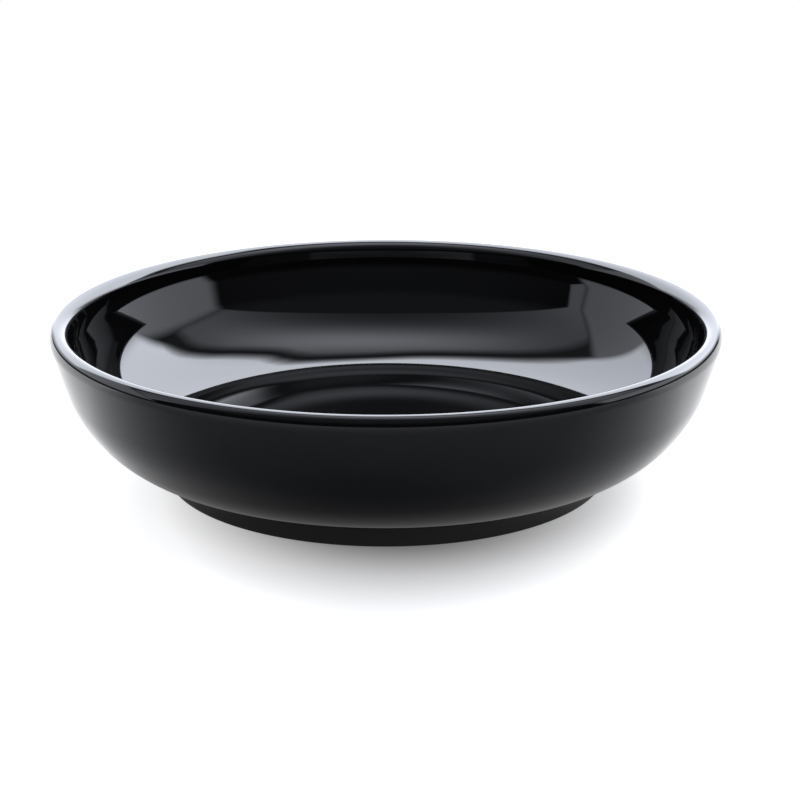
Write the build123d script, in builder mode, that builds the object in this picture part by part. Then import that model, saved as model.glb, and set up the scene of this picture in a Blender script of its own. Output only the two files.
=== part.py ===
from build123d import *
import os
from math import atan, cos, degrees, radians, sin, tan

# Magnetic pin bowl. Millimetres, +Z up.
# The origin is on the table, under the middle of the bowl. The front is -Y.

# Bowl: overall sizes
rim_radius = 60.0
bowl_height = 29.5
rim_wall = 3.3
belly_wall = 2.4
floor_wall = 1.63

# Slope of the side where the round belly ends and at the lip, and the belly's share of the height
belly_end_angle = 72.5
rim_end_angle = 75.0
belly_height_share = 0.5916

# Lip: two quarter ellipses that meet on top. The outer one takes its share of the wall.
lip_height = 1.95
lip_outer_share = 0.36

# Collar: the steeper band inside, under the lip
collar_angle = 83.0
collar_depth = 4.25
collar_bend_radius = 13.0

# Foot ring
foot_ring_width = 2.9
foot_flare_angle = 11.0
foot_edge_radius = 0.4
foot_corner_radius = 0.5
ledge_width = 1.1

# Rubber feet
foot_lift = 0.4
rubber_foot_radius = 4.0
rubber_foot_edge = 0.3
rubber_foot_names = ("back_right", "back_left", "front_left", "front_right")
rubber_seat_depth = 0.5
rubber_seat_gap = 0.1

# Disc magnets and their pockets under the floor
magnet_count = 6
magnet_radius = 6.0
magnet_thickness = 2.0
magnet_edge = 0.2
pocket_gap = 0.15
pocket_wall = 0.9
pocket_spacing = 3.4
pocket_end_gap = 0.4

# Keeper plate
keeper_margin = 1.5
keeper_thickness = 0.5
keeper_edge = 0.1

# Base cover, with the fence round the keeper plate
cover_recess = 0.3
cover_thickness = 1.5
cover_gap = 0.15
cover_edge = 0.25
keeper_gap = 0.2
fence_width = 1.0
fence_height = 0.9

# Screws and their bosses
screw_count = 4
screw_radius = 1.0
thread_root_radius = 0.78
thread_pitch = 0.6
screw_point = 0.5
head_radius = 1.9
head_rim = 0.15
head_sink = 0.1
countersink_angle = 90.0
cross_length = 2.0
cross_width = 0.45
cross_depth = 0.6
boss_radius = 2.4
boss_inner_gap = 2.4
boss_outer_gap = 2.7
pilot_gap = 0.04
pilot_end_gap = 0.2
pilot_end_wall = 1.13
clearance_hole_gap = 0.15
head_seat_gap = 0.03

# One overrun for every cut
overrun = 1.0


def around(count, radius, first_angle):
    """Centres of count places, evenly spaced on a circle."""
    turn = 360 / count
    angles = [radians(first_angle + turn * place) for place in range(count)]
    return [(radius * cos(angle), radius * sin(angle)) for angle in angles]


# Heights, from the table up: cover, keeper plate, magnets, floor
cover_bottom = foot_lift + cover_recess
cover_top = cover_bottom + cover_thickness
keeper_top = cover_top + keeper_thickness
magnet_top = keeper_top + magnet_thickness
floor_top = magnet_top + floor_wall
underside = floor_top - belly_wall
rubber_foot_top = cover_bottom + rubber_seat_depth

# Radii, from the middle out: magnets, keeper plate, fence, bosses, ledge, foot ring
pocket_bore = magnet_radius + pocket_gap
pocket_radius = pocket_bore + pocket_wall
magnet_circle = 2 * pocket_radius + pocket_spacing
keeper_radius = magnet_circle + magnet_radius + keeper_margin
fence_bore = keeper_radius + keeper_gap
fence_radius = fence_bore + fence_width
screw_circle = fence_radius + boss_inner_gap + boss_radius
cavity_radius = screw_circle + boss_radius + boss_outer_gap
cover_bore = cavity_radius + ledge_width
cover_radius = cover_bore - cover_gap
foot_radius = cover_bore + foot_ring_width

# Slopes as tangents, rise over run
belly_slope = tan(radians(belly_end_angle))
rim_slope = tan(radians(rim_end_angle))
collar_slope = tan(radians(collar_angle))

# Lip: each quarter ellipse is widest a lip's height below the top, and its end is turned past or
# short of there until it has the slope of the wall that it meets
lip_outer_width = rim_wall * lip_outer_share
lip_inner_width = rim_wall - lip_outer_width
lip_centre = (rim_radius - lip_outer_width, bowl_height - lip_height)
lip_top = (lip_centre[0], bowl_height)
rim_turn = degrees(atan(lip_height / (lip_outer_width * rim_slope)))
collar_turn = degrees(atan(lip_height / (lip_inner_width * collar_slope)))
rim_end = (
    lip_centre[0] + lip_outer_width * cos(radians(rim_turn)),
    lip_centre[1] - lip_height * sin(radians(rim_turn)),
)
collar_end = (
    lip_centre[0] - lip_inner_width * cos(radians(collar_turn)),
    lip_centre[1] + lip_height * sin(radians(collar_turn)),
)

# Outside of the bowl, from the lip down: a slightly bowed side, the round belly
# tangent to it, and the flat underside tangent to the belly
belly_rise = (bowl_height - underside) * belly_height_share
belly_radius = belly_rise / (1 - cos(radians(belly_end_angle)))
side_rise = rim_end[1] - underside - belly_rise
side_run = side_rise / tan(radians(belly_end_angle + rim_end_angle) / 2)
belly_top = (rim_end[0] - side_run, underside + belly_rise)
floor_radius = belly_top[0] - belly_radius * sin(radians(belly_end_angle))
belly_tangent = (cos(radians(belly_end_angle)), sin(radians(belly_end_angle)))

# Inside of the bowl, from the lip down: the collar, the straight side, and the round hollow,
# which is as high as the belly less its wall
bend_height = bowl_height - collar_depth
bend_corner = (collar_end[0] - (collar_end[1] - bend_height) / collar_slope, bend_height)
hollow_radius = belly_radius - belly_wall
hollow_top_height = floor_top + hollow_radius * (1 - cos(radians(belly_end_angle)))
hollow_top_radius = bend_corner[0] - (bend_height - hollow_top_height) / belly_slope
hollow_top = (hollow_top_radius, hollow_top_height)
hollow_floor_radius = hollow_top_radius - hollow_radius * sin(radians(belly_end_angle))
mouth_corner = (lip_top[0], bowl_height + overrun)

# The foot's flared outer wall runs up into the belly, to half the belly's height
foot_top = underside + belly_rise / 2
foot_top_radius = foot_radius + (foot_top - foot_lift) * tan(radians(foot_flare_angle))

# The screw's head in its countersink, and the blind hole that takes its point
head_slope = tan(radians(countersink_angle / 2))
head_height = head_rim + (head_radius - screw_radius) / head_slope
countersink_radius = head_radius + (head_sink + head_rim) * head_slope + head_seat_gap
screw_start = cover_bottom + head_sink
pilot_radius = screw_radius + pilot_gap
pilot_end = floor_top - pilot_end_wall
screw_end = pilot_end - pilot_end_gap

# The rubber feet stand halfway between the screws, on the same circle
half_step_angle = 180 / screw_count
pocket_places = [(0, 0)] + around(magnet_count, magnet_circle, 0)
screw_places = around(screw_count, screw_circle, 0)
rubber_foot_places = around(len(rubber_foot_names), screw_circle, half_step_angle)

os.makedirs("parts", exist_ok=True)


# Bowl shell: a solid outline and foot, less the hollow and the room in the foot, turned about Z.
# Pockets for the magnets and bosses for the screws are added under the floor.
with BuildPart() as bowl_shell:
    with BuildSketch(Plane.XZ) as section:
        with BuildLine():
            Line((0, underside), (floor_radius, underside))
            TangentArc((floor_radius, underside), belly_top, tangent=(1, 0))
            TangentArc(belly_top, rim_end, tangent=belly_tangent)
            EllipticalCenterArc(
                lip_centre,
                lip_outer_width,
                lip_height,
                start_angle=-rim_turn,
                arc_size=90 + rim_turn,
            )
            Polyline(lip_top, (0, bowl_height), (0, underside))
        make_face()
        with BuildLine():
            Polyline(
                (0, foot_lift),
                (foot_radius, foot_lift),
                (foot_top_radius, foot_top),
                (0, foot_top),
                close=True,
            )
        make_face()
        foot_corner = section.vertices().group_by(Axis.Y)[1].sort_by(Axis.X)[0]
        fillet(foot_corner, foot_corner_radius)
        with BuildLine():
            Line((0, floor_top), (hollow_floor_radius, floor_top))
            TangentArc((hollow_floor_radius, floor_top), hollow_top, tangent=(1, 0))
            FilletPolyline(hollow_top, bend_corner, collar_end, radius=collar_bend_radius)
            EllipticalCenterArc(
                lip_centre,
                lip_inner_width,
                lip_height,
                start_angle=90,
                arc_size=90 - collar_turn,
            )
            Polyline(lip_top, mouth_corner, (0, mouth_corner[1]), (0, floor_top))
        make_face(mode=Mode.SUBTRACT)
        with Locations((0, foot_lift - overrun)):
            Rectangle(
                cavity_radius,
                magnet_top - foot_lift + overrun,
                align=(Align.MIN, Align.MIN),
                mode=Mode.SUBTRACT,
            )
            Rectangle(
                cover_bore,
                cover_top - foot_lift + overrun,
                align=(Align.MIN, Align.MIN),
                mode=Mode.SUBTRACT,
            )
        fillet(section.vertices().group_by(Axis.Y)[0], foot_edge_radius)
    revolve(axis=Axis.Z)
    with BuildSketch(Plane.XY.offset(magnet_top)):
        with Locations(*pocket_places):
            Circle(pocket_radius)
            Circle(pocket_bore, mode=Mode.SUBTRACT)
    extrude(amount=keeper_top + pocket_end_gap - magnet_top)
    with BuildSketch(Plane.XY.offset(magnet_top)):
        with Locations(*screw_places):
            Circle(boss_radius)
    extrude(amount=cover_top - magnet_top)
    with BuildSketch(Plane.XY.offset(pilot_end)):
        with Locations(*screw_places):
            Circle(pilot_radius)
    extrude(amount=cover_top - overrun - pilot_end, mode=Mode.SUBTRACT)
bowl_shell.part.label = "bowl_shell"
export_step(bowl_shell.part, "parts/bowl_shell.step")


# Disc magnets: one in the middle and a ring of them round it, face to face with the floor
for number, place in enumerate(pocket_places):
    with BuildPart() as magnet:
        with BuildSketch(Plane.XY.offset(keeper_top)):
            with Locations(place):
                Circle(magnet_radius)
        extrude(amount=magnet_thickness)
        chamfer(magnet.edges(), magnet_edge)
    magnet.part.label = f"magnet_ring_{number}" if number else "magnet_centre"
    export_step(magnet.part, f"parts/{magnet.part.label}.step")


# Keeper plate: steel disc under the magnets
with BuildPart() as keeper_plate:
    with BuildSketch(Plane.XY.offset(cover_top)):
        Circle(keeper_radius)
    extrude(amount=keeper_thickness)
    chamfer(keeper_plate.edges(), keeper_edge)
keeper_plate.part.label = "keeper_plate"
export_step(keeper_plate.part, "parts/keeper_plate.step")


# Base cover: disc in the foot ring, with a fence round the keeper plate,
# seats for the rubber feet and countersunk holes
with BuildPart() as base_cover:
    with BuildSketch(Plane.XY.offset(cover_bottom)):
        Circle(cover_radius)
    extrude(amount=cover_thickness)
    fillet(base_cover.edges().group_by(Axis.Z)[0], cover_edge)
    with BuildSketch(Plane.XY.offset(cover_top)):
        Circle(fence_radius)
        Circle(fence_bore, mode=Mode.SUBTRACT)
    extrude(amount=fence_height)
    with BuildSketch(Plane.XY.offset(rubber_foot_top)):
        with Locations(*rubber_foot_places):
            Circle(rubber_foot_radius + rubber_seat_gap)
    extrude(amount=cover_bottom - rubber_foot_top - overrun, mode=Mode.SUBTRACT)
    with Locations(*[Plane((x, y, cover_bottom), z_dir=(0, 0, -1)) for x, y in screw_places]):
        CounterSinkHole(
            screw_radius + clearance_hole_gap,
            countersink_radius,
            counter_sink_angle=countersink_angle,
        )
base_cover.part.label = "base_cover"
export_step(base_cover.part, "parts/base_cover.step")


# Cover screw: countersunk head, ridged shank and a cross recess, then one at each place
thread_end = screw_end - screw_point
thread_turns = int((thread_end - screw_start - head_height) / thread_pitch)
thread_start = thread_end - thread_turns * thread_pitch
thread_points = []
for turn in range(thread_turns):
    ridge_bottom = thread_start + turn * thread_pitch
    thread_points.append((thread_root_radius, ridge_bottom))
    thread_points.append((screw_radius, ridge_bottom + thread_pitch / 2))
with BuildPart() as cover_screw:
    with BuildSketch(Plane.XZ):
        with BuildLine():
            Polyline(
                (0, screw_start),
                (head_radius, screw_start),
                (head_radius, screw_start + head_rim),
                (screw_radius, screw_start + head_height),
                (thread_root_radius, screw_start + head_height),
                *thread_points[1:],
                (thread_root_radius, thread_end),
                (0, screw_end),
                close=True,
            )
        make_face()
    revolve(axis=Axis.Z)
    with BuildSketch(Plane.XY.offset(screw_start)):
        Rectangle(cross_length, cross_width)
        Rectangle(cross_width, cross_length)
    extrude(amount=cross_depth, mode=Mode.SUBTRACT)
with BuildPart() as cover_screws:
    with Locations(*screw_places):
        add(cover_screw.part)
cover_screws.part.label = "cover_screws"
export_step(cover_screws.part, "parts/cover_screws.step")


# Rubber feet: one under each quarter of the cover, proud of the foot ring
for name, place in zip(rubber_foot_names, rubber_foot_places):
    with BuildPart() as rubber_foot:
        with BuildSketch(Plane.XY):
            with Locations(place):
                Circle(rubber_foot_radius)
        extrude(amount=rubber_foot_top)
        fillet(rubber_foot.edges().group_by(Axis.Z)[0], rubber_foot_edge)
    rubber_foot.part.label = f"rubber_foot_{name}"
    export_step(rubber_foot.part, f"parts/{rubber_foot.part.label}.step")
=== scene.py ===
import bpy
import numpy as np
from math import atan2, cos, degrees, hypot, radians, sin, sqrt, tan
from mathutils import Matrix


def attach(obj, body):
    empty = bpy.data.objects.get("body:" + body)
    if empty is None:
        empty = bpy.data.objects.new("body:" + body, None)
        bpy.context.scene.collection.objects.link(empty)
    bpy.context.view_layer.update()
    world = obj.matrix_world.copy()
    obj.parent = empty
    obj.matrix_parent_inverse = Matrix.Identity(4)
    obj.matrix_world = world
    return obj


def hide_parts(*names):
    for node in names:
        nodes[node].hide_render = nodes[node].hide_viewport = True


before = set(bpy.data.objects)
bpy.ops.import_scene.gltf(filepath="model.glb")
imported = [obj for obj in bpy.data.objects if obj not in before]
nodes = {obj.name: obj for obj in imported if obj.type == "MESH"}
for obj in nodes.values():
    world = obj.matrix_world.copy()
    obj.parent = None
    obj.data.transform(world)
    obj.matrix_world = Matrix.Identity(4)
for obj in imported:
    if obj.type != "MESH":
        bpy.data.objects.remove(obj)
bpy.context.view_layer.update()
print("frame loaded:", len(nodes), "nodes")


# Small helpers
def hexToLinear(text):
    # sRGB hex to linear RGBA: value / 12.92 below 0.04045, else ((value + 0.055) / 1.055) ** 2.4
    values = np.array([int(text[i:i + 2], 16) for i in (1, 3, 5)]) / 255
    linear = np.where(values <= 0.04045, values / 12.92, ((values + 0.055) / 1.055) ** 2.4)
    return (*linear.tolist(), 1.0)


def addNode(tree, kind, settings=None, links=None):
    # settings: an input's name or number, or an attribute; links: input to output socket
    node = tree.nodes.new(kind)
    for key, value in (settings or {}).items():
        if isinstance(key, int) or key in node.inputs:
            node.inputs[key].default_value = value
        else:
            setattr(node, key, value)
    for key, socket in (links or {}).items():
        tree.links.new(socket, node.inputs[key])
    return node


def addChain(tree, kind, settings, parts):
    # takes many nodes' first outputs together: each new node joins the result so far and the next part
    result = parts[0]
    for part in parts[1:]:
        result = addNode(tree, kind, settings, {0: result.outputs[0], 1: part.outputs[0]})
    return result


def newMaterial(name):
    # an empty material, its node tree and the place on the object in metres
    material = bpy.data.materials.new(name)
    material.use_nodes = True
    tree = material.node_tree
    tree.nodes.clear()
    place = addNode(tree, "ShaderNodeTexCoord").outputs["Object"]
    return material, tree, place


# Bowl: one moulding, turned from its section (mm, radius and height)
bowl = dict(
    rimRadius=60.0, height=29.5, rimWall=3.3, lipOuterShare=0.36, lipHeight=1.95,
    bellyWall=2.4, floorTop=6.33, bellyEnd=72.5, rimEnd=75.0, bellyShare=0.5916,
    collarAngle=83.0, collarDepth=4.25, collarBend=13.0,
    footRadius=40.1, footLift=0.4, footFlare=11.0, footEdge=0.4, footCorner=0.5,
    coverBore=37.2, coverTop=2.2, cavityRadius=36.1, magnetTop=4.7,
    pocketBore=6.15, pocketRadius=7.05, pocketMouth=3.1, magnetCircle=17.5, magnets=6,
    pilotRadius=1.04, bossRadius=2.4, screwCircle=31.0, screws=4,
    dishRadius=29.0, dishDepth=0.55, dishShare=0.76, floorBend=61.8, floorTurn=5.2,
    # how far the tubes under the floor reach into it, and how finely each stretch is divided
    sunk=0.05, segments=400, smallSegments=48,
    steps=dict(
        dish=10, dishEdge=6, floorBend=8, round=50, side=4, collarBend=10, collar=2, lip=20,
        outerSide=10, footCorner=6, footWall=3, footEdge=5, underside=8,
    ),
)


def lineRun(start, end, steps=1):
    # straight run from start to end; its normal is the left of its direction
    share = np.linspace(0, 1, steps + 1)[:, None]
    points = np.array(start) * (1 - share) + np.array(end) * share
    along = np.array(end, float) - np.array(start, float)
    normal = np.array([-along[1], along[0]]) / hypot(*along)
    return points, np.repeat(normal[None], steps + 1, 0)


def arcRun(centre, radius, fromAngle, toAngle, steps):
    # centre + radius (cos a, sin a), a in degrees; the normal is the left of the direction of travel
    a = np.radians(np.linspace(fromAngle, toAngle, steps + 1))
    spoke = np.stack([np.cos(a), np.sin(a)], 1)
    return np.array(centre) + radius * spoke, spoke * (1 if toAngle < fromAngle else -1)


def ellipseRun(centre, across, up, fromAngle, toAngle, steps):
    # centre + (across cos t, up sin t), t falling; the normal is (cos t / across, sin t / up) made unit
    t = np.radians(np.linspace(fromAngle, toAngle, steps + 1))
    normal = np.stack([np.cos(t) / across, np.sin(t) / up], 1)
    points = np.array(centre) + np.stack([across * np.cos(t), up * np.sin(t)], 1)
    return points, normal / np.linalg.norm(normal, axis=1)[:, None]


def sideArc(start, startSlope, end):
    # centre and radius of the arc that leaves start at a slope and goes through end
    chord = hypot(end[0] - start[0], end[1] - start[1])
    endSlope = 2 * degrees(atan2(end[1] - start[1], end[0] - start[0])) - startSlope
    radius = chord / (2 * sin(radians(endSlope - startSlope) / 2))
    centre = (start[0] - radius * sin(radians(startSlope)), start[1] + radius * cos(radians(startSlope)))
    return centre, radius


def bowlSection(b):
    # the section's runs, from the middle of the floor over the rim to the middle of the underside
    slope, collar, rimSlope = radians(b["bellyEnd"]), radians(b["collarAngle"]), radians(b["rimEnd"])
    underside = b["floorTop"] - b["bellyWall"]
    bellyRise = (b["height"] - underside) * b["bellyShare"]
    bellyRadius = bellyRise / (1 - cos(slope))
    # lip: two quarter ellipses that meet on top and take up the slopes of the collar and the side
    lipOut = b["rimWall"] * b["lipOuterShare"]
    lipIn = b["rimWall"] - lipOut
    lipCentre = (b["rimRadius"] - lipOut, b["height"] - b["lipHeight"])
    outStart = -atan2(b["lipHeight"], lipOut * tan(rimSlope))
    inStart = atan2(b["lipHeight"], lipIn * tan(collar))
    rimEnd = (lipCentre[0] + lipOut * cos(outStart), lipCentre[1] + b["lipHeight"] * sin(outStart))
    collarEnd = (lipCentre[0] - lipIn * cos(inStart), lipCentre[1] + b["lipHeight"] * sin(inStart))
    # outside: a slightly bowed side, and the round belly tangent to it
    sideRun = (rimEnd[1] - underside - bellyRise) / tan((slope + rimSlope) / 2)
    bellyTop = (rimEnd[0] - sideRun, underside + bellyRise)
    centre = (bellyTop[0] - bellyRadius * sin(slope), underside + bellyRadius)
    outer, outerRadius = sideArc(bellyTop, b["bellyEnd"], rimEnd)
    # inside: the collar under the lip, a bend, the straight side and the round hollow
    bendHeight = b["height"] - b["collarDepth"]
    bendCorner = np.array([collarEnd[0] - (collarEnd[1] - bendHeight) / tan(collar), bendHeight])
    bendTouch = b["collarBend"] * tan((collar - slope) / 2)
    bendStart = bendCorner - bendTouch * np.array([cos(slope), sin(slope)])
    bendEnd = bendCorner + bendTouch * np.array([cos(collar), sin(collar)])
    bendCentre = bendStart + b["collarBend"] * np.array([-sin(slope), cos(slope)])
    hollowRadius = bellyRadius - b["bellyWall"]
    hollowTopHeight = centre[1] - hollowRadius * cos(slope)
    hollowTop = (bendCorner[0] - (bendHeight - hollowTopHeight) / tan(slope), hollowTopHeight)
    hollow = (hollowTop[0] - hollowRadius * sin(slope), centre[1])
    bellyAngle, collarTurn = b["bellyEnd"] - 90, b["collarAngle"] - 90
    # floor: a barely sunk dish of two arcs, a flat ring and a long soft bend that runs into the hollow
    soft = radians(b["floorTurn"])
    softTop = (hollow[0] + hollowRadius * sin(soft), hollow[1] - hollowRadius * cos(soft))
    softCentre = (softTop[0] - b["floorBend"] * sin(soft), softTop[1] + b["floorBend"] * cos(soft))
    ringHeight = softCentre[1] - b["floorBend"]
    dishTurn = 2 * atan2(b["dishDepth"], b["dishRadius"])
    dishBend = b["dishRadius"] * b["dishShare"] / sin(dishTurn)
    edgeBend = b["dishRadius"] * (1 - b["dishShare"]) / sin(dishTurn)
    dishAngle = degrees(dishTurn)
    # foot corner: a circle that touches the flared wall and the belly from outside
    flare = radians(b["footFlare"])
    wallNormal = np.array([cos(flare), -sin(flare)])
    wallUp = np.array([sin(flare), cos(flare)])
    foot = np.array([b["footRadius"], b["footLift"]])
    away = foot + wallNormal * b["footCorner"] - np.array(centre)
    half = away @ wallUp
    reach = -half - sqrt(half ** 2 - away @ away + (bellyRadius + b["footCorner"]) ** 2)
    corner = foot + wallNormal * b["footCorner"] + wallUp * reach
    cornerAngle = degrees(atan2(corner[1] - centre[1], corner[0] - centre[0]))
    edge = b["footEdge"]
    edgeUp = (edge + edge * wallNormal[1]) / wallUp[1]
    edgeCentre = foot - wallNormal * edge + wallUp * edgeUp
    innerEdge = (b["coverBore"] + edge, b["footLift"] + edge)
    steps = b["steps"]
    return [
        arcRun((0, ringHeight - b["dishDepth"] + dishBend), dishBend, -90, dishAngle - 90, steps["dish"]),
        arcRun((b["dishRadius"], ringHeight - edgeBend), edgeBend, 90 + dishAngle, 90, steps["dishEdge"]),
        lineRun((b["dishRadius"], ringHeight), (softCentre[0], ringHeight)),
        arcRun(softCentre, b["floorBend"], -90, b["floorTurn"] - 90, steps["floorBend"]),
        arcRun(hollow, hollowRadius, b["floorTurn"] - 90, bellyAngle, steps["round"]),
        lineRun(hollowTop, bendStart, steps["side"]),
        arcRun(bendCentre, b["collarBend"], bellyAngle, collarTurn, steps["collarBend"]),
        lineRun(bendEnd, collarEnd, steps["collar"]),
        ellipseRun(lipCentre, lipIn, b["lipHeight"], 180 - degrees(inStart), 90, steps["lip"]),
        ellipseRun(lipCentre, lipOut, b["lipHeight"], 90, degrees(outStart), steps["lip"]),
        arcRun(outer, outerRadius, b["rimEnd"] - 90, bellyAngle, steps["outerSide"]),
        arcRun(centre, bellyRadius, bellyAngle, cornerAngle, steps["round"]),
        arcRun(corner, b["footCorner"], cornerAngle + 180, 180 - b["footFlare"], steps["footCorner"]),
        lineRun(corner - wallNormal * b["footCorner"], edgeCentre + wallNormal * edge, steps["footWall"]),
        arcRun(edgeCentre, edge, -b["footFlare"], -90, steps["footEdge"]),
        lineRun((edgeCentre[0], b["footLift"]), (innerEdge[0], b["footLift"])),
        arcRun(innerEdge, edge, -90, -180, steps["footEdge"]),
        lineRun((b["coverBore"], innerEdge[1]), (b["coverBore"], b["coverTop"])),
        lineRun((b["coverBore"], b["coverTop"]), (b["cavityRadius"], b["coverTop"])),
        lineRun((b["cavityRadius"], b["coverTop"]), (b["cavityRadius"], b["magnetTop"])),
        lineRun((b["cavityRadius"], b["magnetTop"]), (0, b["magnetTop"]), steps["underside"]),
    ]


def tubeSection(bore, radius, low, high):
    # a plain tube, walked up its bore and down its outside
    corners = [(bore, low), (bore, high), (radius, high), (radius, low), (bore, low)]
    return [lineRun(*pair) for pair in zip(corners, corners[1:])]


def turned(runs, segments, place=(0, 0)):
    # surface of revolution: x = r cos t, y = r sin t, z = height, with the section's own normals.
    # Runs share their end points, and each face keeps the normals of its own run.
    t = np.arange(segments) * 2 * np.pi / segments
    ring = np.stack([np.cos(t), np.sin(t)], 1)
    section = np.concatenate([points[:-1] for points, _ in runs] + [runs[-1][0][-1:]])
    if np.allclose(section[0], section[-1]):
        section = section[:-1]
    count = len(section)
    starts = np.concatenate([normals[:-1] for _, normals in runs])
    ends = np.concatenate([normals[1:] for _, normals in runs])
    # a point on the axis is one vertex, every other point is a ring of them
    poles = np.isclose(section[:, 0], 0)
    size = np.where(poles, 1, segments)
    first = np.concatenate([[0], np.cumsum(size)[:-1]])
    verts = np.concatenate([
        np.column_stack([r * ring[:n], np.full(n, z)]) for (r, z), n in zip(section, size)
    ])
    verts[:, :2] += place
    step = np.arange(segments)
    after = (step + 1) % segments
    faces, corners = [], []
    for i in range(len(starts)):
        k = (i + 1) % count
        a = first[i] + (0 if poles[i] else 1) * step
        b = first[k] + (0 if poles[k] else 1) * step
        c = first[k] + (0 if poles[k] else 1) * after
        d = first[i] + (0 if poles[i] else 1) * after
        low = np.column_stack([starts[i][0] * ring, np.full(segments, starts[i][1])])
        high = np.column_stack([ends[i][0] * ring, np.full(segments, ends[i][1])])
        columns = [(a, low), (b, high), (c, high[after]), (d, low[after])]
        if poles[i]:
            columns = columns[:3]
        elif poles[k]:
            columns = [columns[0], columns[1], columns[3]]
        faces += np.stack([index for index, _ in columns], 1).tolist()
        corners.append(np.stack([normal for _, normal in columns], 1).reshape(-1, 3))
    return verts, faces, np.concatenate(corners)


def meshPiece(name, shells):
    # joins shells (vertices in mm, faces, corner normals) into one object in metres
    verts, faces, normals, offset = [], [], [], 0
    for shellVerts, shellFaces, shellNormals in shells:
        verts.append(shellVerts)
        faces += [[index + offset for index in face] for face in shellFaces]
        normals.append(shellNormals)
        offset += len(shellVerts)
    mesh = bpy.data.meshes.new(name)
    mesh.from_pydata((np.concatenate(verts) / 1000).tolist(), [], faces)
    mesh.shade_smooth()
    mesh.normals_split_custom_set(np.concatenate(normals).tolist())
    piece = bpy.data.objects.new(name, mesh)
    bpy.context.scene.collection.objects.link(piece)
    return piece


def ringPlaces(count, radius):
    # places evenly round a circle, the first on the x axis
    turns = np.arange(count) * 2 * np.pi / count
    return np.stack([radius * np.cos(turns), radius * np.sin(turns)], 1).tolist()


tubeTop = bowl["magnetTop"] + bowl["sunk"]
pocket = tubeSection(bowl["pocketBore"], bowl["pocketRadius"], bowl["pocketMouth"], tubeTop)
boss = tubeSection(bowl["pilotRadius"], bowl["bossRadius"], bowl["coverTop"], tubeTop)
shells = [turned(bowlSection(bowl), bowl["segments"])]
for place in [[0, 0]] + ringPlaces(bowl["magnets"], bowl["magnetCircle"]):
    shells.append(turned(pocket, bowl["smallSegments"], place))
for place in ringPlaces(bowl["screws"], bowl["screwCircle"]):
    shells.append(turned(boss, bowl["smallSegments"], place))
mouldedBowl = meshPiece("moulded_bowl", shells)
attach(mouldedBowl, "root")
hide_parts("bowl_shell")
print("bowl made:", len(mouldedBowl.data.polygons), "faces")


# Materials: sizes of patterns are in mm, and a spread is the stretch of the noise that is used
glossPlastic = dict(
    colour="#101011", ior=1.5, roughness=(0.02, 0.05),
    handlingSize=50 / 3, handlingDetail=6.0, handlingSpread=(0.35, 0.7),
    waveSize=14.0, waveDetail=2.0, waveDepth=0.0015, bump=1.0,
)


def makeGlossPlastic(p):
    # Injection-moulded ABS from a polished mould: a deep black mirror with a barely uneven skin
    material, tree, place = newMaterial("polished_black_abs")
    wave = addNode(
        tree, "ShaderNodeTexNoise", {"Scale": 1000 / p["waveSize"], "Detail": p["waveDetail"]},
        {"Vector": place},
    )
    handling = addNode(
        tree, "ShaderNodeTexNoise", {"Scale": 1000 / p["handlingSize"], "Detail": p["handlingDetail"]},
        {"Vector": place},
    )
    roughness = addNode(
        tree, "ShaderNodeMapRange",
        {
            "From Min": p["handlingSpread"][0], "From Max": p["handlingSpread"][1],
            "To Min": p["roughness"][0], "To Max": p["roughness"][1],
        },
        {"Value": handling.outputs["Fac"]},
    )
    bump = addNode(
        tree, "ShaderNodeBump", {"Strength": p["bump"], "Distance": p["waveDepth"] / 1000},
        {"Height": wave.outputs["Fac"]},
    )
    shader = addNode(
        tree, "ShaderNodeBsdfPrincipled",
        {"Base Color": hexToLinear(p["colour"]), "IOR": p["ior"]},
        {"Roughness": roughness.outputs["Result"], "Normal": bump.outputs["Normal"]},
    )
    addNode(tree, "ShaderNodeOutputMaterial", None, {"Surface": shader.outputs["BSDF"]})
    return material


satinPlastic = dict(
    colour="#17171a", ior=1.5, roughness=(0.35, 0.49),
    grain=0.35, grainDetail=3.0, grainSpread=(0.3, 0.7), grainDepth=0.03, bump=0.6,
)


def makeSatinPlastic(p):
    # Moulded ABS with a spark-eroded skin: fine even grain, drawn a little coarse so that it shows
    material, tree, place = newMaterial("satin_black_abs")
    grain = addNode(
        tree, "ShaderNodeTexNoise", {"Scale": 1000 / p["grain"], "Detail": p["grainDetail"]},
        {"Vector": place},
    )
    roughness = addNode(
        tree, "ShaderNodeMapRange",
        {
            "From Min": p["grainSpread"][0], "From Max": p["grainSpread"][1],
            "To Min": p["roughness"][0], "To Max": p["roughness"][1],
        },
        {"Value": grain.outputs["Fac"]},
    )
    bump = addNode(
        tree, "ShaderNodeBump", {"Strength": p["bump"], "Distance": p["grainDepth"] / 1000},
        {"Height": grain.outputs["Fac"]},
    )
    shader = addNode(
        tree, "ShaderNodeBsdfPrincipled",
        {"Base Color": hexToLinear(p["colour"]), "IOR": p["ior"]},
        {"Roughness": roughness.outputs["Result"], "Normal": bump.outputs["Normal"]},
    )
    addNode(tree, "ShaderNodeOutputMaterial", None, {"Surface": shader.outputs["BSDF"]})
    return material


rubber = dict(
    colours=("#19191a", "#222223"), ior=1.52, roughness=0.75,
    grain=0.5, grainDetail=4.0, grainSpread=(0.35, 0.75), grainDepth=0.05, bump=0.7,
)


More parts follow.
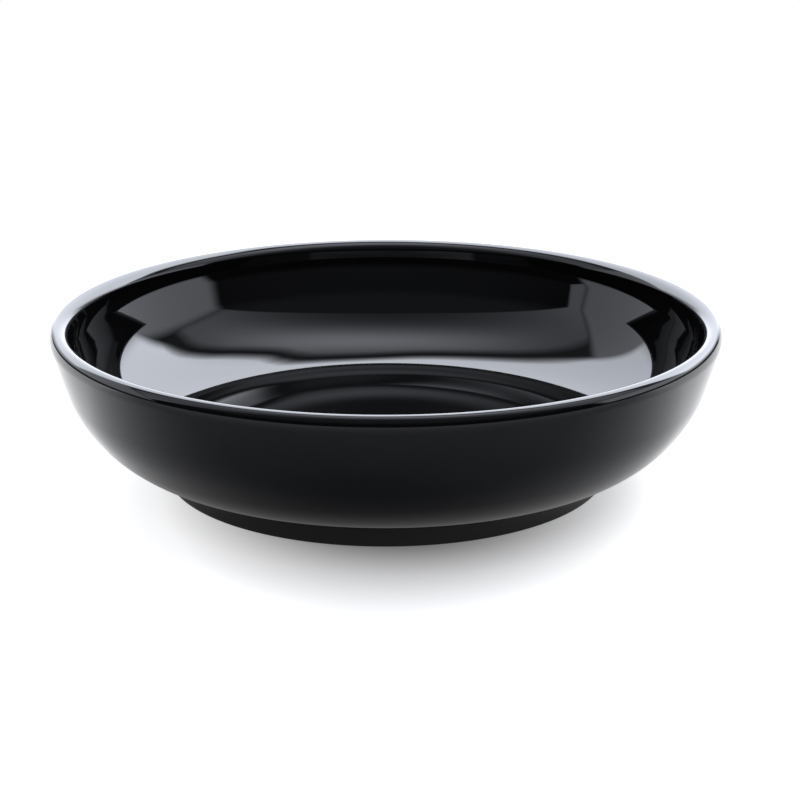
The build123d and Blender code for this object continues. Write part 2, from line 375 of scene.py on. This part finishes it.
def makeRubber(p):
    # Pressed rubber: dull, softly pitted, a touch greyer on its high spots
    material, tree, place = newMaterial("pressed_rubber")
    grain = addNode(
        tree, "ShaderNodeTexNoise", {"Scale": 1000 / p["grain"], "Detail": p["grainDetail"]},
        {"Vector": place},
    )
    colour = addNode(tree, "ShaderNodeValToRGB", None, {"Fac": grain.outputs["Fac"]})
    for element, position, text in zip(colour.color_ramp.elements, p["grainSpread"], p["colours"]):
        element.position = position
        element.color = hexToLinear(text)
    bump = addNode(
        tree, "ShaderNodeBump", {"Strength": p["bump"], "Distance": p["grainDepth"] / 1000},
        {"Height": grain.outputs["Fac"]},
    )
    shader = addNode(
        tree, "ShaderNodeBsdfPrincipled", {"Roughness": p["roughness"], "IOR": p["ior"]},
        {"Base Color": colour.outputs["Color"], "Normal": bump.outputs["Normal"]},
    )
    addNode(tree, "ShaderNodeOutputMaterial", None, {"Surface": shader.outputs["BSDF"]})
    return material


metals = {
    # bright zinc on cold-rolled sheet: faint spangle
    "zinc_plated_steel": dict(
        name="bright_zinc_steel", colours=("#a4aab0", "#c3c8cc"), roughness=(0.27, 0.40),
        texture="ShaderNodeTexVoronoi", output="Color", grain=2.5,
    ),
    # barrel-plated nickel: smooth and slightly warm
    "nickel_plated_magnet": dict(
        name="nickel_plate", colours=("#bdb8ad", "#cfcabf"), roughness=(0.15, 0.28),
        texture="ShaderNodeTexNoise", output="Fac", grain=3.0,
    ),
    # case-hardened screw steel with clear zinc: small tumbling marks
    "screw_steel": dict(
        name="zinc_screw_steel", colours=("#9fa2a4", "#c9cbcc"), roughness=(0.21, 0.34),
        texture="ShaderNodeTexNoise", output="Fac", grain=0.4,
    ),
}


def makePlatedMetal(p):
    # Plated metal: a base colour and a shine that drift a little from grain to grain
    material, tree, place = newMaterial(p["name"])
    pattern = addNode(tree, p["texture"], {"Scale": 1000 / p["grain"]}, {"Vector": place})
    grain = pattern.outputs[p["output"]]
    colour = addNode(tree, "ShaderNodeValToRGB", None, {"Fac": grain})
    for element, text in zip(colour.color_ramp.elements, p["colours"]):
        element.color = hexToLinear(text)
    roughness = addNode(
        tree, "ShaderNodeMapRange", {"To Min": p["roughness"][0], "To Max": p["roughness"][1]},
        {"Value": grain},
    )
    shader = addNode(
        tree, "ShaderNodeBsdfPrincipled", {"Metallic": 1.0},
        {"Base Color": colour.outputs["Color"], "Roughness": roughness.outputs["Result"]},
    )
    addNode(tree, "ShaderNodeOutputMaterial", None, {"Surface": shader.outputs["BSDF"]})
    return material


finishes = {
    "black_gloss_plastic": makeGlossPlastic(glossPlastic),
    "black_satin_plastic": makeSatinPlastic(satinPlastic),
    "black_rubber": makeRubber(rubber),
}
for slotName, metal in metals.items():
    finishes[slotName] = makePlatedMetal(metal)
slotOf = {
    "bowl_shell": "black_gloss_plastic", "base_cover": "black_satin_plastic",
    "keeper_plate": "zinc_plated_steel", "cover_screws": "screw_steel",
}
for name, piece in nodes.items():
    slotName = slotOf.get(name, "nickel_plated_magnet" if name.startswith("magnet") else "black_rubber")
    piece.data.materials.clear()
    piece.data.materials.append(finishes[slotName])
mouldedBowl.data.materials.append(finishes["black_gloss_plastic"])
print("materials set:", len(finishes))


# Camera, at the photograph's angle (m and degrees, lens and sensor in mm)
view = dict(place=(0.00248, -0.3481, 0.1243), tilt=72.30, lens=90.0, sensor=36.0, clip=(0.01, 50))
cameraData = bpy.data.cameras.new("camera")
cameraData.lens = view["lens"]
cameraData.sensor_width = view["sensor"]
cameraData.clip_start, cameraData.clip_end = view["clip"]
camera = bpy.data.objects.new("camera", cameraData)
camera.location = view["place"]
camera.rotation_euler = (radians(view["tilt"]), 0, 0)
bpy.context.scene.collection.objects.link(camera)
bpy.context.scene.camera = camera
print("camera placed")


# White table top (m): each reach is a distance from the bowl's middle over which a glow changes
seenRays = ["Is Camera Ray", "Is Transmission Ray"]
mirroredRays = ["Is Glossy Ray"]
table = dict(
    # reflections see a greyer copy of the laminate, which is painted shade, and the glow colour is that of
    # painted light
    half=0.4, colour="#f4f4f5", reflectedShadeColour="#aaaaab", glowColour="#ffffff",
    # each glow is painted light on the table: what it is at the start and the end of its reach, for each
    # kind of ray that sees it;
    # for the camera it paints the bowl's short shadow and a darker shade by the foot, in reflections a
    # bright ring by the foot and a brighter far floor; stretch makes its circle narrower from left to
    # right, and shift moves its middle
    glows=[
        dict(rays=seenRays, stretch=1.6, reach=(0.0345, 0.0705), glow=(0.20, 0.84)),
        dict(rays=seenRays, stretch=1.0, reach=(0.040, 0.051), glow=(-0.11, 0.0)),
        dict(rays=mirroredRays, stretch=1.0, reach=(0.041, 0.052), glow=(0.22, 0.02)),
        dict(rays=mirroredRays, stretch=1.0, reach=(0.095, 0.200), glow=(0.0, 0.22)),
    ],
    shift=(-0.003, 0.0, 0.0),
    # painted light on the table that only reflections see, beside and behind the bowl
    besideReach=(0.041, 0.056), besideDepth=0.06, besidePower=1.4, paintedReflectionGlow=1.08,
    patchReach=(0.034, 0.037), patchGlow=0.7,
)
corners = ((-1, -1), (1, -1), (1, 1), (-1, 1))
tableMesh = bpy.data.meshes.new("table_top")
tableMesh.from_pydata([(x * table["half"], y * table["half"], 0) for x, y in corners], [], [(0, 1, 2, 3)])
tableTop = bpy.data.objects.new("table_top", tableMesh)
bpy.context.scene.collection.objects.link(tableTop)


def makeTable(t):
    # White laminate with painted light on it: a glow that grows away from the bowl paints its short shadow
    # over into pure white.
    # It is clear from below, so that the base can be seen from underneath.
    material, tree, place = newMaterial("white_laminate")
    geometry = addNode(tree, "ShaderNodeNewGeometry")
    ray = addNode(tree, "ShaderNodeLightPath")
    parts = addNode(tree, "ShaderNodeSeparateXYZ", None, {0: place})
    radius = addNode(tree, "ShaderNodeVectorMath", {"operation": "LENGTH"}, {0: place})
    # in reflections only, painted light makes it brighter beside and behind the bowl: (1 + y / depth) to a
    # power, clear of the foot
    beside = addNode(
        tree, "ShaderNodeMapRange", {"From Min": -t["besideDepth"], "From Max": 0.0},
        {"Value": parts.outputs["Y"]},
    )
    besideRise = addNode(
        tree, "ShaderNodeMath", {"operation": "POWER", 1: t["besidePower"]}, {0: beside.outputs[0]}
    )
    clearOfFoot = addNode(
        tree, "ShaderNodeMapRange",
        {"From Min": t["besideReach"][0], "From Max": t["besideReach"][1], "To Max": t["paintedReflectionGlow"]},
        {"Value": radius.outputs["Value"]},
    )
    paintedReflectionGlow = addChain(tree, "ShaderNodeMath", {"operation": "MULTIPLY"}, [besideRise, clearOfFoot])
    # painted light: a glowing patch inside the foot ring, which lights the underside and which only the
    # underside sees
    patch = addNode(
        tree, "ShaderNodeMapRange",
        {
            "From Min": t["patchReach"][0], "From Max": t["patchReach"][1],
            "To Min": t["patchGlow"], "To Max": 0.0,
        },
        {"Value": radius.outputs["Value"]},
    )
    glow = addNode(
        tree, "ShaderNodeMath", {"operation": "MULTIPLY_ADD"},
        {0: ray.outputs["Is Glossy Ray"], 1: paintedReflectionGlow.outputs[0], 2: patch.outputs[0]},
    )
    shifted = addNode(tree, "ShaderNodeVectorMath", {"operation": "ADD", 1: t["shift"]}, {0: place})
    # painted light and shade: each glow adds light to the table, or takes it away, by the distance from
    # the bowl's middle
    for g in t["glows"]:
        stretched = addNode(
            tree, "ShaderNodeVectorMath", {"operation": "MULTIPLY", 1: (g["stretch"], 1, 0)},
            {0: shifted.outputs[0]},
        )
        distance = addNode(
            tree, "ShaderNodeVectorMath", {"operation": "LENGTH"}, {0: stretched.outputs[0]}
        )
        ramp = addNode(
            tree, "ShaderNodeMapRange",
            {
                "From Min": g["reach"][0], "From Max": g["reach"][1],
                "To Min": g["glow"][0], "To Max": g["glow"][1],
            },
            {"Value": distance.outputs["Value"]},
        )
        for kind in g["rays"]:
            glow = addNode(
                tree, "ShaderNodeMath", {"operation": "MULTIPLY_ADD"},
                {0: ray.outputs[kind], 1: ramp.outputs[0], 2: glow.outputs[0]},
            )
    # painted shade: reflections see the laminate greyer than the camera sees it
    colour = addNode(
        tree, "ShaderNodeMix",
        {"data_type": "RGBA", 6: hexToLinear(t["colour"]), 7: hexToLinear(t["reflectedShadeColour"])},
        {0: ray.outputs["Is Glossy Ray"]},
    )
    white = addNode(tree, "ShaderNodeBsdfDiffuse", None, {"Color": colour.outputs[2]})
    bright = addNode(
        tree, "ShaderNodeEmission", {"Color": hexToLinear(t["glowColour"])},
        {"Strength": glow.outputs[0]},
    )
    both = addNode(tree, "ShaderNodeAddShader", None, {0: white.outputs[0], 1: bright.outputs[0]})
    clear = addNode(tree, "ShaderNodeBsdfTransparent")
    oneSided = addNode(
        tree, "ShaderNodeMixShader", None,
        {0: geometry.outputs["Backfacing"], 1: both.outputs[0], 2: clear.outputs[0]},
    )
    addNode(tree, "ShaderNodeOutputMaterial", None, {"Surface": oneSided.outputs[0]})
    return material


tableMesh.materials.append(makeTable(table))
print("table laid")


# Studio: angles are degrees from straight overhead, side to the right and back away from the camera.
# Heights are the z of a direction of length 1. A pair is a soft edge, or the level at each end of one.
studio = dict(
    colour="#eff4ff", plainShare=0.37, seenColour="#ffffff", seenLevel=1.0,
    sideReach=90.0, sideUnit=60.0, lowestHeight=0.02,
    # dark gap between the ceiling card and the backdrop: side angle and back angle
    gapCurve=[
        (-90, 16), (-50, 16.5), (-25, 15.5), (-8, 16.2), (8, 21.8), (15, 17.5),
        (26, 10.8), (40, 13.8), (50, 16), (62, 14), (90, 14),
    ],
    gapTop=40.0,
    # backdrop: its ends are edges of side + slant * back, its lean is a slope by side and a level,
    # and its middle is an edge of (side / sideUnit) squared
    backdropFade=(28.0, 72.0), backdropLevel=(9.2, 3.6), backdropRamp=10.0, backdropPower=2.0,
    leftSlant=1.35, leftEdge=(-16.0, -2.0), rightSlant=-1.2, rightEdge=(38.0, 22.0),
    lean=(0.0031, 0.98), horizonHeight=(0.0, 0.3), horizonMiddle=(0.69, 0.17),
    # ceiling card: its front is an edge of y / z
    glow=2.8, glowSide=7.0, glowBack=-3.0, glowWide=38.0, glowDeep=17.0,
    cardLevel=0.3, cardRise=0.6, cardFront=(-0.91, -0.83), ceilingRamp=8.0, ceilingLeast=0.1,
    # side walls: the left one is an edge of side - back, the right one of side
    leftWall=(-66.0, -74.0), rightWall=(62.0, 74.0), wallFront=(-26.0, -18.0),
    wallFoot=(0.0, 0.08), wallLevel=1.5, wallLean=(0.0022, 1.135),
    darkHeight=(0.2, 0.45), darkLevel=(0.02, 0.155), underHeight=(-0.12, -0.3), underLevel=1.2,
)


def addSky(tree, s):
    # where a ray goes: forward and up are parts of its direction, and plan is its place on a plan on which
    # the distance from the middle is the angle from straight overhead, with its parts side and back.
    # sideSquare is (side / sideUnit) squared, and beyond is how far back it lies past the gap.
    direction = addNode(tree, "ShaderNodeTexCoord").outputs["Generated"]
    parts = addNode(tree, "ShaderNodeSeparateXYZ", None, {0: direction})
    angle = addNode(tree, "ShaderNodeMath", {"operation": "ARCCOSINE"}, {0: parts.outputs["Z"]})
    zenith = addNode(tree, "ShaderNodeMath", {"operation": "DEGREES"}, {0: angle.outputs[0]})
    flat = addNode(tree, "ShaderNodeVectorMath", {"operation": "MULTIPLY", 1: (1, 1, 0)}, {0: direction})
    unit = addNode(tree, "ShaderNodeVectorMath", {"operation": "NORMALIZE"}, {0: flat.outputs[0]})
    plan = addNode(
        tree, "ShaderNodeVectorMath", {"operation": "SCALE"},
        {0: unit.outputs[0], "Scale": zenith.outputs[0]},
    )
    planParts = addNode(tree, "ShaderNodeSeparateXYZ", None, {0: plan.outputs[0]})
    side, back = planParts.outputs["X"], planParts.outputs["Y"]
    sideShare = addNode(tree, "ShaderNodeMath", {"operation": "DIVIDE", 1: s["sideUnit"]}, {0: side})
    sideSquare = addChain(tree, "ShaderNodeMath", {"operation": "MULTIPLY"}, [sideShare, sideShare])
    across = addNode(
        tree, "ShaderNodeMapRange", {"From Min": -s["sideReach"], "From Max": s["sideReach"]},
        {"Value": side},
    )
    gap = addNode(tree, "ShaderNodeFloatCurve", None, {"Value": across.outputs[0]})
    places = [
        ((sideAngle + s["sideReach"]) / (2 * s["sideReach"]), backAngle / s["gapTop"])
        for sideAngle, backAngle in s["gapCurve"]
    ]
    curve = gap.mapping.curves[0]
    for place in places[1:-1]:
        curve.points.new(*place)
    curve.points[0].location = places[0]
    curve.points[-1].location = places[-1]
    gap.mapping.update()
    gapBack = addNode(
        tree, "ShaderNodeMath", {"operation": "MULTIPLY", 1: s["gapTop"]}, {0: gap.outputs[0]}
    )
    beyond = addNode(tree, "ShaderNodeMath", {"operation": "SUBTRACT"}, {0: back, 1: gapBack.outputs[0]})
    return dict(
        plan=plan.outputs[0], side=side, back=back, forward=parts.outputs["Y"], up=parts.outputs["Z"],
        sideSquare=sideSquare.outputs[0], beyond=beyond.outputs[0],
    )


def addBackdrop(tree, s, sky):
    # bright wall behind the bowl: fades down to the horizon and ends in slanted edges left and right
    fade = addNode(
        tree, "ShaderNodeMapRange",
        {
            "From Min": s["backdropFade"][0], "From Max": s["backdropFade"][1],
            "To Min": s["backdropLevel"][0], "To Max": s["backdropLevel"][1],
        },
        {"Value": sky["back"]},
    )
    ramp = addNode(
        tree, "ShaderNodeMapRange", {"From Max": s["backdropRamp"]}, {"Value": sky["beyond"]}
    )
    rise = addNode(
        tree, "ShaderNodeMath", {"operation": "POWER", 1: s["backdropPower"]}, {0: ramp.outputs[0]}
    )
    edges = []
    for slant, edge in ((s["leftSlant"], s["leftEdge"]), (s["rightSlant"], s["rightEdge"])):
        line = addNode(
            tree, "ShaderNodeMath", {"operation": "MULTIPLY_ADD", 1: slant},
            {0: sky["back"], 2: sky["side"]},
        )
        edges.append(addNode(
            tree, "ShaderNodeMapRange",
            {"interpolation_type": "SMOOTHSTEP", "From Min": edge[0], "From Max": edge[1]},
            {"Value": line.outputs[0]},
        ))
    # it is a little brighter on the right, and its sides are dark at the horizon
    lean = addNode(
        tree, "ShaderNodeMath", {"operation": "MULTIPLY_ADD", 1: s["lean"][0], 2: s["lean"][1]},
        {0: sky["side"]},
    )
    above = addNode(
        tree, "ShaderNodeMapRange",
        {
            "interpolation_type": "SMOOTHSTEP",
            "From Min": s["horizonHeight"][0], "From Max": s["horizonHeight"][1],
        },
        {"Value": sky["up"]},
    )
    middle = addNode(
        tree, "ShaderNodeMapRange",
        {"From Min": s["horizonMiddle"][0], "From Max": s["horizonMiddle"][1]},
        {"Value": sky["sideSquare"]},
    )
    horizon = addChain(tree, "ShaderNodeMath", {"operation": "MAXIMUM"}, [above, middle])
    return addChain(
        tree, "ShaderNodeMath", {"operation": "MULTIPLY"}, [fade, rise, *edges, lean, horizon]
    )


def addCeiling(tree, s, sky):
    # card overhead, brighter at its sides, with an exp(-distance squared) glow in its middle
    spread = addNode(
        tree, "ShaderNodeVectorMath",
        {
            "operation": "MULTIPLY_ADD", 1: (1 / s["glowWide"], 1 / s["glowDeep"], 0),
            2: (-s["glowSide"] / s["glowWide"], -s["glowBack"] / s["glowDeep"], 0),
        },
        {0: sky["plan"]},
    )
    distance = addNode(
        tree, "ShaderNodeVectorMath", {"operation": "DOT_PRODUCT"},
        {0: spread.outputs[0], 1: spread.outputs[0]},
    )
    minus = addNode(
        tree, "ShaderNodeMath", {"operation": "MULTIPLY", 1: -1.0}, {0: distance.outputs["Value"]}
    )
    bell = addNode(tree, "ShaderNodeMath", {"operation": "EXPONENT"}, {0: minus.outputs[0]})
    card = addNode(
        tree, "ShaderNodeMath", {"operation": "MULTIPLY_ADD", 1: s["cardRise"], 2: s["cardLevel"]},
        {0: sky["sideSquare"]},
    )
    lit = addNode(
        tree, "ShaderNodeMath", {"operation": "MULTIPLY_ADD", 1: s["glow"]},
        {0: bell.outputs[0], 2: card.outputs[0]},
    )
    # it grows dim towards the gap, and its front edge is straight: y / z is the same all along it
    fall = addNode(
        tree, "ShaderNodeMapRange",
        {"From Min": 0.0, "From Max": -s["ceilingRamp"], "To Min": s["ceilingLeast"]},
        {"Value": sky["beyond"]},
    )
    height = addNode(
        tree, "ShaderNodeMath", {"operation": "MAXIMUM", 1: s["lowestHeight"]}, {0: sky["up"]}
    )
    overhead = addNode(
        tree, "ShaderNodeMath", {"operation": "DIVIDE"}, {0: sky["forward"], 1: height.outputs[0]}
    )
    front = addNode(
        tree, "ShaderNodeMapRange",
        {
            "interpolation_type": "SMOOTHSTEP",
            "From Min": s["cardFront"][0], "From Max": s["cardFront"][1],
        },
        {"Value": overhead.outputs[0]},
    )
    return addChain(tree, "ShaderNodeMath", {"operation": "MULTIPLY"}, [lit, fall, front])


def addWalls(tree, s, sky):
    # grey walls left and right of the card: where they stand, and how bright they are
    leftLine = addNode(
        tree, "ShaderNodeMath", {"operation": "SUBTRACT"}, {0: sky["side"], 1: sky["back"]}
    )
    left, right, front = [
        addNode(
            tree, "ShaderNodeMapRange",
            {"interpolation_type": "SMOOTHSTEP", "From Min": edge[0], "From Max": edge[1]},
            {"Value": socket},
        )
        for edge, socket in (
            (s["leftWall"], leftLine.outputs[0]), (s["rightWall"], sky["side"]),
            (s["wallFront"], sky["back"]),
        )
    ]
    place = addChain(tree, "ShaderNodeMath", {"operation": "MAXIMUM"}, [left, right])
    foot = addNode(
        tree, "ShaderNodeMapRange",
        {"From Min": s["wallFoot"][0], "From Max": s["wallFoot"][1], "To Max": s["wallLevel"]},
        {"Value": sky["up"]},
    )
    lean = addNode(
        tree, "ShaderNodeMath",
        {"operation": "MULTIPLY_ADD", 1: s["wallLean"][0], 2: s["wallLean"][1]}, {0: sky["side"]},
    )
    level = addChain(tree, "ShaderNodeMath", {"operation": "MULTIPLY"}, [place, front, foot, lean])
    return place, level


def makeStudio(s):
    # Polished black shows only what stands round it, so glossy rays see a studio: a bright backdrop,
    # a dark gap over it, a ceiling card with a glow in its middle, grey sides and a dark camera side.
    world = bpy.data.worlds.new("studio")
    world.use_nodes = True
    tree = world.node_tree
    tree.nodes.clear()
    sky = addSky(tree, s)
    backdrop = addBackdrop(tree, s, sky)
    ceiling = addCeiling(tree, s, sky)
    wallPlace, walls = addWalls(tree, s, sky)
    betweenWalls = addNode(
        tree, "ShaderNodeMath", {"operation": "SUBTRACT", 0: 1.0, "use_clamp": True},
        {1: wallPlace.outputs[0]},
    )
    inner = addChain(tree, "ShaderNodeMath", {"operation": "MULTIPLY"}, [ceiling, betweenWalls])
    dark = addNode(
        tree, "ShaderNodeMapRange",
        {
            "From Min": s["darkHeight"][0], "From Max": s["darkHeight"][1],
            "To Min": s["darkLevel"][0], "To Max": s["darkLevel"][1],
        },
        {"Value": sky["up"]},
    )
    under = addNode(
        tree, "ShaderNodeMapRange",
        {
            "From Min": s["underHeight"][0], "From Max": s["underHeight"][1],
            "To Max": s["underLevel"],
        },
        {"Value": sky["up"]},
    )
    # whichever is brightest shows; nothing is darker than the dark camera side
    level = addChain(
        tree, "ShaderNodeMath", {"operation": "MAXIMUM"}, [inner, walls, backdrop, dark, under]
    )
    # reflections see the studio as it is, matt surfaces see a share of it, and the camera sees plain white
    ray = addNode(tree, "ShaderNodeLightPath")
    share = addNode(
        tree, "ShaderNodeMapRange", {"To Min": s["plainShare"], "To Max": 1.0},
        {"Value": ray.outputs["Is Glossy Ray"]},
    )
    strength = addChain(tree, "ShaderNodeMath", {"operation": "MULTIPLY"}, [level, share])
    lit = addNode(
        tree, "ShaderNodeBackground", {"Color": hexToLinear(s["colour"])},
        {"Strength": strength.outputs[0]},
    )
    plain = addNode(
        tree, "ShaderNodeBackground",
        {"Color": hexToLinear(s["seenColour"]), "Strength": s["seenLevel"]},
    )
    direct = addNode(
        tree, "ShaderNodeMath", {"operation": "MAXIMUM"},
        {0: ray.outputs["Is Camera Ray"], 1: ray.outputs["Is Transmission Ray"]},
    )
    both = addNode(
        tree, "ShaderNodeMixShader", None,
        {0: direct.outputs[0], 1: lit.outputs[0], 2: plain.outputs[0]},
    )
    addNode(tree, "ShaderNodeOutputWorld", None, {"Surface": both.outputs[0]})
    return world


bpy.context.scene.world = makeStudio(studio)
bpy.context.scene.view_settings.view_transform = "Standard"
print("studio lit")
